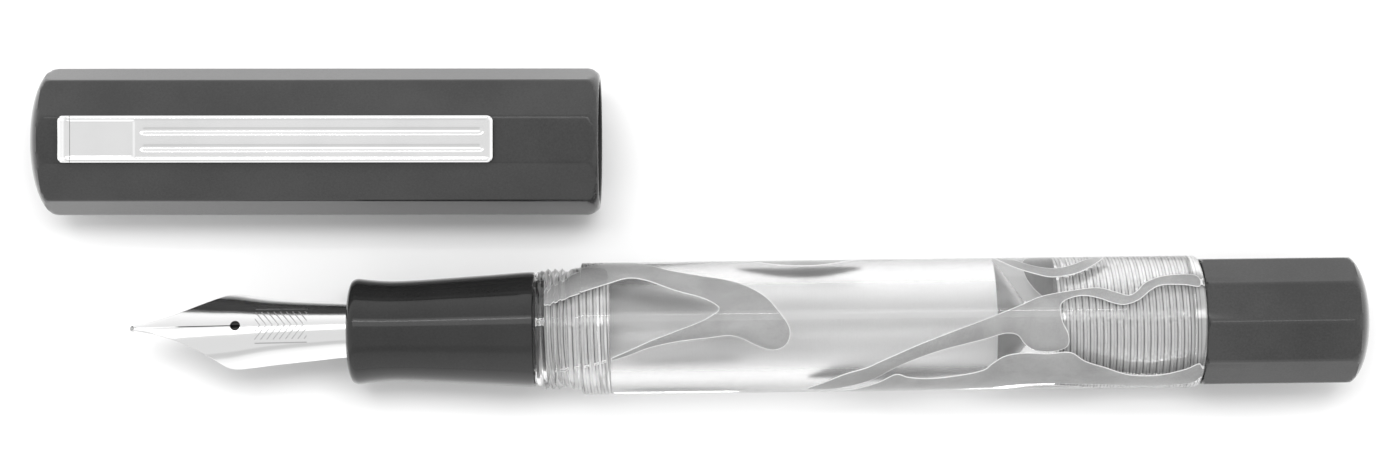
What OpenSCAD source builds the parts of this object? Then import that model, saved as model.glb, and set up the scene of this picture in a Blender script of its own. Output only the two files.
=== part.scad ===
// Eyedropper fountain pen lying uncapped, with its ten-sided cap beside it.
// Millimetres. +X runs from the nib to the tail, +Z is up, and Z = 0 is the surface it lies on.
// Along the pen, s = 0 is the barrel's shoulder, where the closed cap would stop.
// Along the cap, u = 0 is the closed end and u = cap_len the mouth.

/* [Pen layout] */
// Distance between the pen's axis and the cap's axis
cap_gap = 19.05; // [16:0.05:24]
// How far the cap lies turned from parallel with the pen
cap_yaw = 0.65; // [0:0.05:1]
// How far the cap's mouth lies past the barrel's shoulder
cap_offset = 2; // [0:0.1:4]

/* [Cap] */
// Across the corners of the ten-sided cap
cap_d = 14.7; // [14.7:0.05:15.5]
// Length of the cap
cap_len = 56.5; // [56.5:0.1:59]
// Length of the clip's arm
clip_len = 41.1; // [38:0.1:44]
// Width of the clip's arm
clip_w = 4.55; // [4:0.05:4.6]

/* [Barrel] */
// Outside of the clear barrel
barrel_d = 13.2; // [13.2:0.05:14]
// Barrel from its shoulder to the tail knob
barrel_len = 61.6; // [61.6:0.1:66]
// Bore of the ink chamber
chamber_d = 8.6; // [8:0.1:8.8]

/* [Grip section] */
// Grip from the barrel to its front lip
grip_len = 18.55; // [18:0.05:20]
// Grip at its waist
grip_waist_d = 10; // [9.9:0.05:10.3]

/* [Tail knob] */
// Length of the ten-sided tail knob
tail_len = 16.85; // [12:0.05:18]
// Across the corners of the tail knob
tail_d = 13.1; // [12.6:0.05:13.1]

/* [Nib] */
// Nib outside the grip
nib_out = 21.8; // [20.4:0.1:22]
// Thickness of the nib's sheet
nib_t = 0.22; // [0.2:0.01:0.24]
// Width of the slit between the tines
slit_w = 0.1; // [0.06:0.01:0.14]

/* [Hidden] */
$fn = 96;
sides = 10;
half_facet = 180 / sides;
eps = 0.01;
run_gap = 0.04;             // clearance of a running fit

// Turned ends of the faceted parts: [distance from the end, share of the corner radius]
domed_end = [
    [0, 0], [0.1, 0.28], [0.25, 0.48], [0.52, 0.67], [0.79, 0.79], [1.23, 0.9], [1.77, 0.96], [2.4, 1]
];
mouth_end = [[1.2, 1], [0.55, 0.968], [0.2, 0.935], [0, 0.9], [0, 0]];

// Threads: rings of a sharp profile, with the crests of a moving pair just clear of each other
pitch = 0.66;               // section and tail threads
cap_pitch = 0.7;            // cap thread
thread_depth = 0.3;
stud_r = 4.6;               // crest of the male threads in the barrel
female_r = stud_r + 0.08;   // crest of the threads that they turn in
section_turns = 8;
tail_turns = 20;

// Cap, along its own axis
cap_r = cap_d / 2;
cap_flat_r = cap_r * cos(half_facet);
cap_bore_r = 5.9;
cap_thread_r = 5.85;
mouth_r = 6.2;
mouth_depth = 1;
cap_thread_turns = 5;
end_wall = 7.9;             // solid end that holds the clip's tang
liner_r = 4.7;
liner_len = 24.2;
liner_start = end_wall + 1.4;

// Clip
clip_gap = 0.45;
clip_t = 1.1;               // depth of the stamped channel
sheet_t = 0.5;
tang_t = 0.8;
tang_w = 3;
tang_u = 3.9;               // outer face of the tang, from the closed end
tang_reach = 2.4;           // how far the tang passes the axis
hinge_u = 5.2;              // where the spring bend ends and the arm starts
arm_z = cap_flat_r + clip_gap;
screw_r = 1;
screw_head_r = 1.9;

// Barrel, grip and tail, along the pen
barrel_r = barrel_d / 2;
tenon_len = 4.65;
tenon_thread_r = 6.05;
tenon_neck_r = 6.15;
chamber_r = chamber_d / 2;
socket_len = 14.5;          // rear socket for the tail's stud
chamber_end = barrel_len - socket_len - 6;
seat_r = 5;                 // counterbores that the O-rings seal in
seat_depth = 1;
ring_t = 0.8;
ring_groove_r = 4.1;
section_stud = 7.2;
tail_stud = 14.2;
grip_lip_r = grip_waist_d / 2 + 0.27;
grip_back_r = grip_waist_d / 2 + 0.75;
grip_front = -tenon_len - grip_len;
collar_r = 3.5;
collar_flange_r = 3.9;
collar_len = 10;
feed_r = 2.65;
nib_hold_r = 2.97;
ink_bore_r = 3.2;
nib_in = 8;                 // nib inside the collar
tip_s = grip_front - nib_out;

// The nib's sheet at stations back from the tip: [distance, half width, crown height, edge height]
nib_stations = [
    [0.35, 0.40, 2.16, 2.10], [1.4, 0.52, 2.22, 2.16], [2.9, 0.84, 2.30, 2.22], [5.0, 1.52, 2.40, 2.20],
    [7.1, 2.47, 2.48, 1.86], [8.65, 3.26, 2.54, 1.28], [9.65, 3.76, 2.58, 0.70], [10.55, 3.90, 2.60, 0.38],
    [12.1, 3.75, 2.64, 0.24], [14.1, 3.50, 2.70, 0.22], [18.1, 3.14, 2.83, 0.36],
    [nib_out, 2.88, 2.95, 0.62], [nib_out + nib_in, 2.88, 2.95, 0.62]
];
hole_at = 10.6;             // breather hole, back from the tip
hole_r = 0.5;
nib_steps = 14;             // facets across the sheet

// Where the pen and the cap lie, so that the origin is the middle of the whole, on the surface
yaw_rise = cap_len / 2 * sin(cap_yaw);
pen_roll = half_facet;
pen_x = (cap_len - cap_offset - barrel_len - tail_len) / 2;
pen_y = -(barrel_r + cap_gap + cap_r + yaw_rise) / 2 + barrel_r;
cap_x = pen_x + cap_offset - cap_len / 2;

module along_x() { rotate([0, 90, 0]) children(); }

module turned(outline) { along_x() rotate_extrude() polygon(outline); }

module bore(r, from, to) { translate([from, 0, 0]) along_x() cylinder(r = r, h = to - from); }

// A ten-sided bar along X with a flat on top, turned down to an outline of [place, radius] points
module faceted_bar(corner_r, from, to, outline) {
    intersection() {
        rotate([half_facet, 0, 0]) along_x()
            translate([0, 0, from]) cylinder(r = corner_r, h = to - from, $fn = sides);
        turned([for (p = outline) [p[1], p[0]]]);
    }
}

// [radius, place] points of a sharp thread from "from" onwards; crest and root are radii
function thread_outline(crest, root, step, turns, from) = [
    for (i = [0 : turns - 1])
        each [
            [root, from + i * step],
            [crest, from + (i + 0.42) * step],
            [crest, from + (i + 0.58) * step]
        ],
    [root, from + turns * step]
];

module on_pen() { translate([pen_x, pen_y, barrel_r]) rotate([-pen_roll, 0, 0]) children(); }

module on_cap() {
    translate([cap_x, pen_y + cap_gap, cap_flat_r]) rotate([0, 0, -cap_yaw])
        translate([-cap_len / 2, 0, 0]) children();
}

module cap_shell() {
    thread_from = cap_len - mouth_depth - cap_thread_turns * cap_pitch;
    color("DimGray") on_cap() difference() {
        faceted_bar(cap_r, 0, cap_len, [
            for (p = domed_end) [p[0], p[1] * (cap_r + eps)],
            for (p = mouth_end) [cap_len - p[0], p[1] * (cap_r + eps)]
        ]);
        bore(cap_bore_r, end_wall, thread_from + eps);
        turned([
            [0, thread_from],
            each thread_outline(cap_thread_r, cap_thread_r + thread_depth, cap_pitch,
                                cap_thread_turns, thread_from),
            [0, cap_len - mouth_depth]
        ]);
        bore(mouth_r, cap_len - mouth_depth - eps, cap_len + 1);
        bore(screw_r, 1.5, end_wall + eps);
        translate([tang_u - run_gap, -tang_w / 2 - run_gap, -tang_reach - run_gap])
            cube([tang_t + 2 * run_gap, tang_w + 2 * run_gap, cap_r + tang_reach + 1]);
    }
}

// Liner that seals on the grip's lip and keeps the nib moist
module inner_cap() {
    color("WhiteSmoke") on_cap() turned([
        [0, liner_start], [cap_bore_r - 0.4, liner_start], [cap_bore_r, liner_start + 0.4],
        [cap_bore_r, liner_start + liner_len], [liner_r + 0.3, liner_start + liner_len],
        [liner_r, liner_start + liner_len - 0.3], [liner_r, liner_start + 1.6],
        [liner_r - 0.6, liner_start + 1], [0, liner_start + 1]
    ]);
}

// Outline of the clip's arm seen from above, with rounded corners
module arm_plan(length, width, corner) {
    hull() for (x = [corner, length - corner], y = [-1, 1])
        translate([x, y * (width / 2 - corner)]) circle(r = corner, $fn = 32);
}

module clip_arm() {
    rib_from = 7.4;
    rib_end = 0.9;
    rib_pitch = 1.3;
    color("Silver") on_cap() translate([hinge_u, 0, arm_z]) {
        difference() {
            linear_extrude(clip_t) arm_plan(clip_len, clip_w, 0.45);
            translate([-1, -(clip_w - 2 * sheet_t) / 2, -1])
                cube([clip_len + 1 - sheet_t, clip_w - 2 * sheet_t, 1 + clip_t - sheet_t]);
            translate([0.7, 0, clip_t - 0.2]) linear_extrude(1) arm_plan(clip_len - 1.3, clip_w - 0.9, 0.3);
        }
        for (y = [-rib_pitch, 0, rib_pitch])
            translate([rib_from, y, clip_t - 0.2 - eps])
                intersection() {
                    translate([0, 0, -0.25]) along_x() cylinder(r = 0.45, h = clip_len - rib_from - rib_end);
                    translate([0, -1, 0]) cube([clip_len, 2, 1]);
                }
        translate([clip_len - 2.2, 0, clip_t - sheet_t + eps]) intersection() {
            sphere(r = clip_t - sheet_t + clip_gap - 0.1);
            translate([-2, -2, -2]) cube([4, 4, 2]);
        }
    }
}

// The clip's spring bend and the tang that locks it into the cap
module clip_root() {
    color("Silver") on_cap() difference() {
        union() {
            translate([tang_u, -tang_w / 2, -tang_reach])
                cube([tang_t, tang_w, arm_z + clip_t + tang_reach - 0.7]);
            translate([hinge_u - 0.04, 0, 0]) rotate([90, 0, 0])
                linear_extrude(clip_w - 0.5, center = true)
                    polygon([
                        [0, arm_z + clip_t - sheet_t], [0, arm_z + clip_t - 0.1], [-0.3, arm_z + clip_t - 0.1],
                        [tang_u - hinge_u, arm_z + 0.35], [tang_u - hinge_u, cap_flat_r + 0.05],
                        [tang_u - hinge_u + tang_t, cap_flat_r + 0.05]
                    ]);
        }
        bore(screw_r + run_gap, tang_u - 1, tang_u + tang_t + 1);
    }
}

module clip_screw() {
    head_t = 1.2;
    color("Gainsboro") on_cap() difference() {
        turned([
            [0, 1.6],
            each thread_outline(screw_r, screw_r - 0.15, 0.4, 3, 1.6),
            [screw_r - 0.1, tang_u - 0.2], [screw_r - 0.1, end_wall], [screw_head_r, end_wall],
            [screw_head_r, end_wall + head_t - 0.3], [screw_head_r - 0.3, end_wall + head_t],
            [0, end_wall + head_t]
        ]);
        for (a = [0, 90]) rotate([a, 0, 0])
            translate([end_wall + head_t - 0.6, -1.2, -0.22]) cube([1, 2.4, 0.44]);
    }
}

// Clear barrel: ink chamber in front, threaded socket for the tail behind
module barrel() {
    thread_from = -tenon_len + 0.5;
    socket_from = barrel_len - socket_len;
    cone_end = chamber_end + chamber_r - 1.5;
    color([0.86, 0.87, 0.88, 0.45]) on_pen() difference() {
        turned([
            [0, -tenon_len], [tenon_thread_r - 0.6, -tenon_len],
            [tenon_thread_r - thread_depth, -tenon_len + 0.3],
            each thread_outline(tenon_thread_r, tenon_thread_r - thread_depth, cap_pitch, 4, thread_from),
            [tenon_neck_r - 0.08, thread_from + 4 * cap_pitch + 0.25], [tenon_neck_r, 0], [barrel_r, 0],
            [barrel_r, barrel_len - 0.5], [barrel_r - 0.15, barrel_len - 0.15],
            [barrel_r - 0.5, barrel_len], [0, barrel_len]
        ]);
        turned([
            [0, -tenon_len - 1], [seat_r, -tenon_len - 1], [seat_r, seat_depth - tenon_len],
            each thread_outline(female_r, female_r + thread_depth, pitch, section_turns + 1,
                                seat_depth - tenon_len + 0.1),
            [chamber_r, section_stud - tenon_len + 0.6],
            [chamber_r, chamber_end], [1.5, cone_end], [1.5, cone_end + 0.5], [0, cone_end + 0.5]
        ]);
        turned([
            [0, socket_from], [female_r, socket_from],
            each thread_outline(female_r, female_r + thread_depth, pitch, tail_turns, socket_from + 0.1),
            [seat_r, barrel_len - seat_depth], [seat_r, barrel_len + 1], [0, barrel_len + 1]
        ]);
    }
}

module tail_knob() {
    face = barrel_len + run_gap;
    end = barrel_len + tail_len;
    color("DimGray") on_pen() {
        faceted_bar(tail_d / 2, face, end, [
            [face, 0], [face, tail_d / 2 + eps],
            for (i = [len(domed_end) - 1 : -1 : 0])
                [end - domed_end[i][0], domed_end[i][1] * (tail_d / 2 + eps)]
        ]);
        turned([
            [0, face - tail_stud], [stud_r - 0.5, face - tail_stud],
            each thread_outline(stud_r, stud_r - thread_depth, pitch, tail_turns - 1, face - tail_stud + 0.4),
            [ring_groove_r, face - ring_t - 0.2], [ring_groove_r, face + eps], [0, face + eps]
        ]);
    }
}

// An O-ring round the pen's axis with its middle at s
module o_ring(s) {
    color([0.12, 0.12, 0.12]) on_pen() translate([s, 0, 0]) along_x() rotate_extrude()
        translate([ring_groove_r + ring_t / 2 + 0.02, 0]) circle(r = ring_t / 2 - 0.01, $fn = 48);
}

module tail_o_ring() { o_ring(barrel_len - ring_t / 2 - 0.05); }

module section_o_ring() { o_ring(ring_t / 2 + 0.05 - tenon_len); }

// Waisted grip with its lip, and the threaded stud that closes the ink chamber
module grip_section() {
    face = -tenon_len - run_gap;
    stud_end = section_stud - tenon_len;
    collar_end = grip_front + collar_len;
    color([0.2, 0.2, 0.21]) on_pen() difference() {
        turned([
            [0, grip_front], [grip_lip_r - 0.75, grip_front], [grip_lip_r - 0.25, grip_front + 0.15],
            [grip_lip_r, grip_front + 0.6], [grip_lip_r, grip_front + 1], [grip_lip_r - 0.13, grip_front + 2],
            [grip_waist_d / 2 + 0.02, grip_front + 3.4], [grip_waist_d / 2, grip_front + 4.8],
            [grip_waist_d / 2 + 0.08, grip_front + 7], [grip_waist_d / 2 + 0.28, grip_front + 10.4],
            [grip_waist_d / 2 + 0.5, grip_front + 14], [grip_back_r - 0.05, grip_front + 17.2],
            [grip_back_r, face - 0.2], [grip_back_r - 0.2, face], [ring_groove_r, face],
            [ring_groove_r, face + ring_t + 0.2],
            each thread_outline(stud_r, stud_r - thread_depth, pitch, section_turns, face + ring_t + 0.6),
            [stud_r - 0.5, stud_end], [0, stud_end]
        ]);
        bore(collar_flange_r + 0.02, grip_front - 1, grip_front + 0.5);
        bore(collar_r + 0.02, grip_front, collar_end);
        bore(ink_bore_r, collar_end - eps, stud_end + 1);
    }
}

// Threaded housing that grips the nib and feed in the section
module nib_collar() {
    color([0.1, 0.1, 0.1]) on_pen() difference() {
        turned([
            [0, grip_front], [collar_flange_r, grip_front], [collar_flange_r, grip_front + 0.48],
            [collar_r - 0.15, grip_front + 0.5], [collar_r - 0.15, grip_front + 1.2],
            each thread_outline(collar_r, collar_r - 0.15, 0.5, 12, grip_front + 1.2),
            [collar_r - 0.2, grip_front + 7.5], [collar_r - 0.2, grip_front + collar_len - 0.04],
            [0, grip_front + collar_len - 0.04]
        ]);
        bore(nib_hold_r, grip_front - 1, grip_front + nib_in + 0.3);
        bore(2.3, grip_front, grip_front + collar_len + 1);
    }
}

// Radius of the arc through the crown and both edges of a station
function sheet_radius(st) = let (rise = st[2] - st[3]) (st[1] * st[1] + rise * rise) / (2 * rise);

// Points across a station, at a depth under the outer face, from one edge to the other
function sheet_arc(st, depth) =
    let (r = sheet_radius(st), half = asin(st[1] / r))
    [for (i = [0 : nib_steps])
        let (a = half * (2 * i / nib_steps - 1))
            [st[0], (r - depth) * sin(a), st[2] - r + (r - depth) * cos(a)]];

function reversed(list) = [for (i = [len(list) - 1 : -1 : 0]) list[i]];

// A curved sheet through the stations, closed along its edges and across both ends
module sheet_loft(stations, thickness) {
    n = 2 * (nib_steps + 1);
    last = (len(stations) - 1) * n;
    polyhedron(
        points = [for (st = stations) each concat(sheet_arc(st, 0), reversed(sheet_arc(st, thickness)))],
        faces = [
            for (j = [0 : nib_steps - 1]) [j, j + 1, n - 2 - j, n - 1 - j],
            for (i = [0 : len(stations) - 2], j = [0 : n - 1])
                let (a = i * n + j, b = i * n + (j + 1) % n)
                    each [[a, a + n, b + n], [a, b + n, b]],
            for (j = [0 : nib_steps - 1]) [last + n - 1 - j, last + n - 2 - j, last + j + 1, last + j]
        ],
        convexity = 6
    );
}

module at_tip() { translate([tip_s, 0, 0]) children(); }

module nib() {
    color("GhostWhite") on_pen() at_tip() difference() {
        sheet_loft(nib_stations, nib_t);
        translate([hole_at, 0, 0]) cylinder(r = hole_r, h = 4, $fn = 48);
        translate([-1, -slit_w / 2, 0]) cube([hole_at + 1, slit_w, 4]);
    }
}

// Hard ball at the point, one half on each tine
module nib_tipping() {
    ball_r = 0.38;
    crown = nib_stations[0][2];
    color("LightGray") on_pen() at_tip() difference() {
        translate([ball_r, 0, crown - 0.34]) sphere(r = ball_r, $fn = 32);
        translate([nib_stations[0][0] - eps, -1, crown - nib_t - 0.08]) cube([2, 2, 1]);
        translate([-1, -slit_w / 2, 0]) cube([3, slit_w, 4]);
    }
}

module feed() {
    fin_from = 11.4;
    fin_pitch = 0.85;
    fin_gap = 0.38;
    fins = 11;
    body_end = nib_out + nib_in - 0.2;
    saddle_r = 3.3;         // the top is rounded to suit the nib
    crown_z = 1.93;         // height of the saddle at the tip, and how steeply it climbs
    crown_slope = -1.8;
    color([0.08, 0.08, 0.08]) on_pen() at_tip() {
        difference() {
            intersection() {
                along_x() cylinder(r = feed_r, h = body_end);
                translate([0, 0, crown_z - saddle_r]) rotate([0, crown_slope, 0]) along_x()
                    translate([0, 0, -1]) cylinder(r = saddle_r, h = body_end + 2);
                rotate([90, 0, 0]) linear_extrude(8, center = true) polygon([
                    [4.2, 1.75], [7.5, 0.9], [10.4, -1.1], [11.2, -2.1], [12, -3], [body_end, -3],
                    [body_end, 4], [4.2, 4]
                ]);
                linear_extrude(8, center = true) polygon([
                    [4.2, -0.55], [7, -1.1], [10.8, -1.9], [12, -3], [body_end, -3],
                    [body_end, 3], [12, 3], [10.8, 1.9], [7, 1.1], [4.2, 0.55]
                ]);
            }
            for (i = [0 : fins - 1]) translate([fin_from + 1 + i * fin_pitch, 0, 0]) difference() {
                translate([0, -4, -4]) cube([fin_gap, 8, 4.6]);
                translate([-1, -1.5, -1.6]) cube([3, 3, 3]);
            }
            translate([3, -0.18, 1.6]) cube([body_end, 0.36, 2]);
        }
        translate([body_end - eps, 0, 0]) along_x() cylinder(r = 1.9, h = 3.4);
        translate([body_end + 3.38, 0, 0]) along_x() cylinder(r1 = 1.2, r2 = 0.9, h = 4);
    }
}

cap_shell();
inner_cap();
clip_arm();
clip_root();
clip_screw();
barrel();
tail_knob();
tail_o_ring();
section_o_ring();
grip_section();
nib_collar();
nib();
nib_tipping();
feed();
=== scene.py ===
import bmesh
import bpy
import math
import re
import numpy
from mathutils import Matrix, Vector


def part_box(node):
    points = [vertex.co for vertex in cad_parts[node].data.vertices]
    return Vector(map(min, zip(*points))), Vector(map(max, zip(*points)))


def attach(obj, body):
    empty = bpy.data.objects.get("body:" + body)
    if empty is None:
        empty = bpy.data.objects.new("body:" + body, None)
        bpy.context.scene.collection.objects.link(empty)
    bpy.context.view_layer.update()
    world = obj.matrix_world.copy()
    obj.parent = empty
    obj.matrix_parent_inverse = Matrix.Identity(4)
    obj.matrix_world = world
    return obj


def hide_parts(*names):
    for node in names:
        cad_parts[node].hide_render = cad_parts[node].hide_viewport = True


# Open fountain pen with its ten-sided cap beside it, lying on a white table.
# Lengths are in millimetres until a piece is finished. Along the pen, 0 is the
# barrel's shoulder; along the cap, 0 is its closed end.

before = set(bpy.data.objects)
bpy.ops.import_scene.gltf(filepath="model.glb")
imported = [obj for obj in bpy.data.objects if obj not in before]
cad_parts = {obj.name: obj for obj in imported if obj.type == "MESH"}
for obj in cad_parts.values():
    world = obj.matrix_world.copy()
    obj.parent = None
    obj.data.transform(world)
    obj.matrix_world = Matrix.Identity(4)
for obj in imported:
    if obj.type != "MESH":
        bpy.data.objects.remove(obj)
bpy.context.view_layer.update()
print("frame loaded")

mm = 0.001

layout = {
    "facets": 10,             # flats round the cap and the tail knob
    "tenonLength": 4.65,      # barrel in front of its shoulder
    "nibRoll": 18,            # the nib and the tail knob are rolled this far towards the cap
    "capYaw": 0.65,           # the cap lies this far from parallel
    "capLength": 56.5,
    "roundSteps": 160,        # facets round a turned piece, a multiple of twenty
}


def boxMiddle(node):
    low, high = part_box(node)
    return (low + high) / 2


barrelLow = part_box("barrel")[0]
penPlace = Matrix.Translation((
    barrelLow.x + layout["tenonLength"] * mm, boxMiddle("barrel").y, boxMiddle("barrel").z))
nibPlace = penPlace @ Matrix.Rotation(math.radians(-layout["nibRoll"]), 4, "X")
capPlace = (
    Matrix.Translation(boxMiddle("cap_shell"))
    @ Matrix.Rotation(math.radians(-layout["capYaw"]), 4, "Z")
    @ Matrix.Translation((-layout["capLength"] / 2 * mm, 0, 0))
)


# Materials

class Wire:                                        # one output of a node, for use in sums
    def __init__(self, tree, socket):
        self.tree = tree
        self.socket = socket

    def joined(self, operation, first, second):
        node = self.tree.nodes.new("ShaderNodeMath")
        node.operation = operation
        plug(self.tree, node.inputs[0], first)
        plug(self.tree, node.inputs[1], second)
        return Wire(self.tree, node.outputs[0])

    def __add__(self, other):
        return self.joined("ADD", self, other)

    def __radd__(self, other):
        return self.joined("ADD", other, self)

    def __sub__(self, other):
        return self.joined("SUBTRACT", self, other)

    def __rsub__(self, other):
        return self.joined("SUBTRACT", other, self)

    def __mul__(self, other):
        return self.joined("MULTIPLY", self, other)

    def __rmul__(self, other):
        return self.joined("MULTIPLY", other, self)

    def __gt__(self, other):
        return self.joined("GREATER_THAN", self, other)

    def __lt__(self, other):
        return self.joined("LESS_THAN", self, other)

    def __mod__(self, other):
        return self.joined("FLOORED_MODULO", self, other)


def plug(tree, socket, value):
    if isinstance(value, Wire):
        tree.links.new(value.socket, socket)
    elif isinstance(value, (tuple, list)) and len(value) == 3 and socket.type == "RGBA":
        socket.default_value = (*value, 1)
    else:
        socket.default_value = value


def grey(value):
    return (value, value, value)


class Finish:                                      # a Principled material and its node tree
    def __init__(self, name, **fixed):
        self.material = bpy.data.materials.new(name)
        self.material.use_nodes = True
        self.tree = self.material.node_tree
        self.shader = self.tree.nodes["Principled BSDF"]
        self.set(**fixed)

    def set(self, **values):
        for key, value in values.items():
            words = key if key.isupper() else re.sub("([A-Z])", r" \1", key).title()
            plug(self.tree, self.shader.inputs[words], value)

    def node(self, kind, settings=None, values=None, output=0):
        made = self.tree.nodes.new(kind)
        for key, value in (settings or {}).items():
            setattr(made, key, value)
        for key, value in (values or {}).items():
            plug(self.tree, made.inputs[key], value)
        return Wire(self.tree, made.outputs[output])

    def place(self):
        return self.node("ShaderNodeTexCoord", output="Object")

    def axes(self, vector):
        parts = self.node("ShaderNodeSeparateXYZ", None, {"Vector": vector}).socket.node.outputs
        return [Wire(self.tree, part) for part in parts]

    def size(self, value):
        return self.node("ShaderNodeMath", {"operation": "ABSOLUTE"}, {0: value})

    def larger(self, first, second):
        return self.node("ShaderNodeMath", {"operation": "MAXIMUM"}, {0: first, 1: second})

    def noise(self, scale, detail=4.0, rough=0.55, stretch=(1, 1, 1), distortion=0.0):
        place = self.node("ShaderNodeMapping", None, {"Vector": self.place(), "Scale": stretch})
        return self.node("ShaderNodeTexNoise", None, {
            "Vector": place, "Scale": scale, "Detail": detail, "Roughness": rough, "Distortion": distortion})

    def between(self, value, low, high, toLow=0.0, toHigh=1.0):
        return self.node("ShaderNodeMapRange", {"interpolation_type": "SMOOTHSTEP"}, {
            "Value": value, "From Min": low, "From Max": high, "To Min": toLow, "To Max": toHigh})

    def mixed(self, first, second, factor):
        return self.node("ShaderNodeMix", {"data_type": "RGBA"}, {0: factor, 6: first, 7: second}, output=2)

    def bumped(self, height, strength, distance):
        return self.node("ShaderNodeBump", None, {
            "Height": height, "Strength": strength, "Distance": distance * mm})


resinLook = {
    "capShade": 0.026,        # base greys
    "tailShade": 0.035,
    "gripShade": 0.016,
    "refraction": 1.42,
    "roughness": 0.12,
    "gripRoughness": 0.07,
    "wear": 0.05,             # how far rubbing varies the gloss
    "tones": (0.8, 1.35),     # darkest and lightest cloud, as shares of the base grey
    "cloudScale": 90,
    "speckleScale": 5200,
    "hairlineScale": 260,
}


def polishedResin(name, shade, roughness):
    finish = Finish(name, coatWeight=0.15, coatRoughness=0.04, IOR=resinLook["refraction"])
    cloud = finish.noise(resinLook["cloudScale"], detail=3)
    speckle = finish.noise(resinLook["speckleScale"], detail=2, rough=0.7)
    tone = finish.between(cloud * 0.6 + speckle * 0.4, 0.3, 0.7)
    hairlines = finish.noise(resinLook["hairlineScale"], detail=6, rough=0.75, stretch=(0.3, 6, 6))
    rubbed = finish.between(hairlines, 0.56, 0.72)
    dark, light = resinLook["tones"]
    finish.set(
        baseColor=finish.mixed(grey(shade * dark), grey(shade * light), tone),
        roughness=roughness + cloud * resinLook["wear"] + rubbed * resinLook["wear"],
        normal=finish.bumped(hairlines * 0.3 + speckle * 0.7, 0.12, 0.004),
    )
    return finish.material


capResin = polishedResin("capResin", resinLook["capShade"], resinLook["roughness"])
tailResin = polishedResin("tailResin", resinLook["tailShade"], resinLook["roughness"])
gripResin = polishedResin("gripResin", resinLook["gripShade"], resinLook["gripRoughness"])


steelLook = {
    "lineScale": 900,         # fine lines of polishing, drawn out along the piece
    "lineStretch": (0.4, 8, 8),
    "cloudScale": 140,
    "clip": (0.95, 0.09),     # shade and roughness of each steel piece
    "screw": (0.62, 0.28),
    "tipping": (0.52, 0.22),
}


def polishedSteel(name, shade, roughness, stretch=steelLook["lineStretch"]):
    finish = Finish(name, metallic=1.0)
    lines = finish.noise(steelLook["lineScale"], detail=5, rough=0.7, stretch=stretch)
    cloud = finish.noise(steelLook["cloudScale"], detail=3)
    smear = finish.between(cloud, 0.35, 0.7)
    finish.set(
        baseColor=finish.mixed(grey(shade), grey(shade * 0.9), smear * 0.6 + lines * 0.4),
        roughness=roughness + lines * 0.06 + smear * 0.04,
        normal=finish.bumped(lines, 0.05, 0.002),
    )
    return finish


clipSteel = polishedSteel("clipSteel", *steelLook["clip"]).material
screwSteel = polishedSteel("screwSteel", *steelLook["screw"]).material
tippingAlloy = polishedSteel("tippingAlloy", *steelLook["tipping"], stretch=(3, 3, 3)).material

clearLook = {
    "refraction": 1.49,
    "roughness": 0.015,
    "handlingScale": 160,     # smears left by handling
    "ringScale": 900,         # turning marks in the bore
    "grainScale": 7000,
    "boreRoughness": 0.30,    # drilled chamber, left frosted
    "boreTints": (1.0, 0.92),
    "paintedShade": 0.28,             # painted shade: grey laid along the bottom of the bore under the axis, for the pen's shadow on the table seen through it
    "paintedShadeHalf": 1.5,
    "threadRoughness": 0.10,
    "threadPaintedTones": (0.99, 0.22),
    "threadPaintedSheen": 0.46,      # share of the cut threads turned diffuse white, a painted sheen for light mirrored inside them
    "passed": 0.77,           # light let through each wall to what lies behind
}


def clearAcrylic(name, roughness):
    finish = Finish(name, transmissionWeight=1.0, IOR=clearLook["refraction"])
    handling = finish.between(finish.noise(clearLook["handlingScale"], detail=5), 0.5, 0.75)
    finish.set(
        baseColor=finish.mixed(grey(0.99), grey(0.96), handling),
        roughness=roughness + handling * 0.03,
        normal=finish.bumped(finish.noise(700, detail=3), 0.02, 0.01),
    )
    passLamps(finish)
    return finish


def drilledAcrylic(name):                          # turning marks run round the bore; a band of painted shade lies along its lowest side
    finish = Finish(name, transmissionWeight=1.0, IOR=clearLook["refraction"])
    rings = finish.noise(clearLook["ringScale"], detail=4, rough=0.8, stretch=(9, 0.25, 0.25))
    grain = finish.noise(clearLook["grainScale"], detail=2, rough=0.8)
    marks = rings * 0.45 + grain * 0.55
    side, height = finish.axes(finish.place())[1:]
    # painted shade: a grey band on the bottom of the bore right under the axis, where the table below lies
    # in the pen's shadow
    half = clearLook["paintedShadeHalf"] * mm
    offAxis = finish.size(side - penPlace.translation.y) + grain * (half * 0.4)
    paintedShade = finish.between(offAxis, half * 0.6, half * 1.3, 1.0, 0.0)
    paintedShade = paintedShade * (height < penPlace.translation.z) * finish.between(grain, 0.3, 0.6, 0.55, 1.0)
    light, dark = clearLook["boreTints"]
    bareBore = finish.mixed(grey(light), grey(dark), finish.between(marks, 0.38, 0.66))
    finish.set(
        baseColor=finish.mixed(bareBore, grey(clearLook["paintedShade"]), paintedShade),
        roughness=clearLook["boreRoughness"] + marks * 0.15,
        normal=finish.bumped(marks, 0.25, 0.02),
    )
    passLamps(finish)
    return finish


def passLamps(finish):                             # lamps and bounced light shine straight through
    ray = finish.tree.nodes.new("ShaderNodeLightPath").outputs
    passing = finish.larger(
        Wire(finish.tree, ray["Is Shadow Ray"]), Wire(finish.tree, ray["Is Diffuse Ray"]))
    straight = finish.node("ShaderNodeBsdfTransparent", None, {"Color": grey(clearLook["passed"])})
    both = finish.node("ShaderNodeMixShader", None, {
        0: passing, 1: Wire(finish.tree, finish.shader.outputs[0]), 2: straight})
    finish.tree.links.new(both.socket, finish.tree.nodes["Material Output"].inputs["Surface"])


clearPolished = clearAcrylic("clearPolished", clearLook["roughness"]).material
clearBore = drilledAcrylic("clearBore").material


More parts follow.
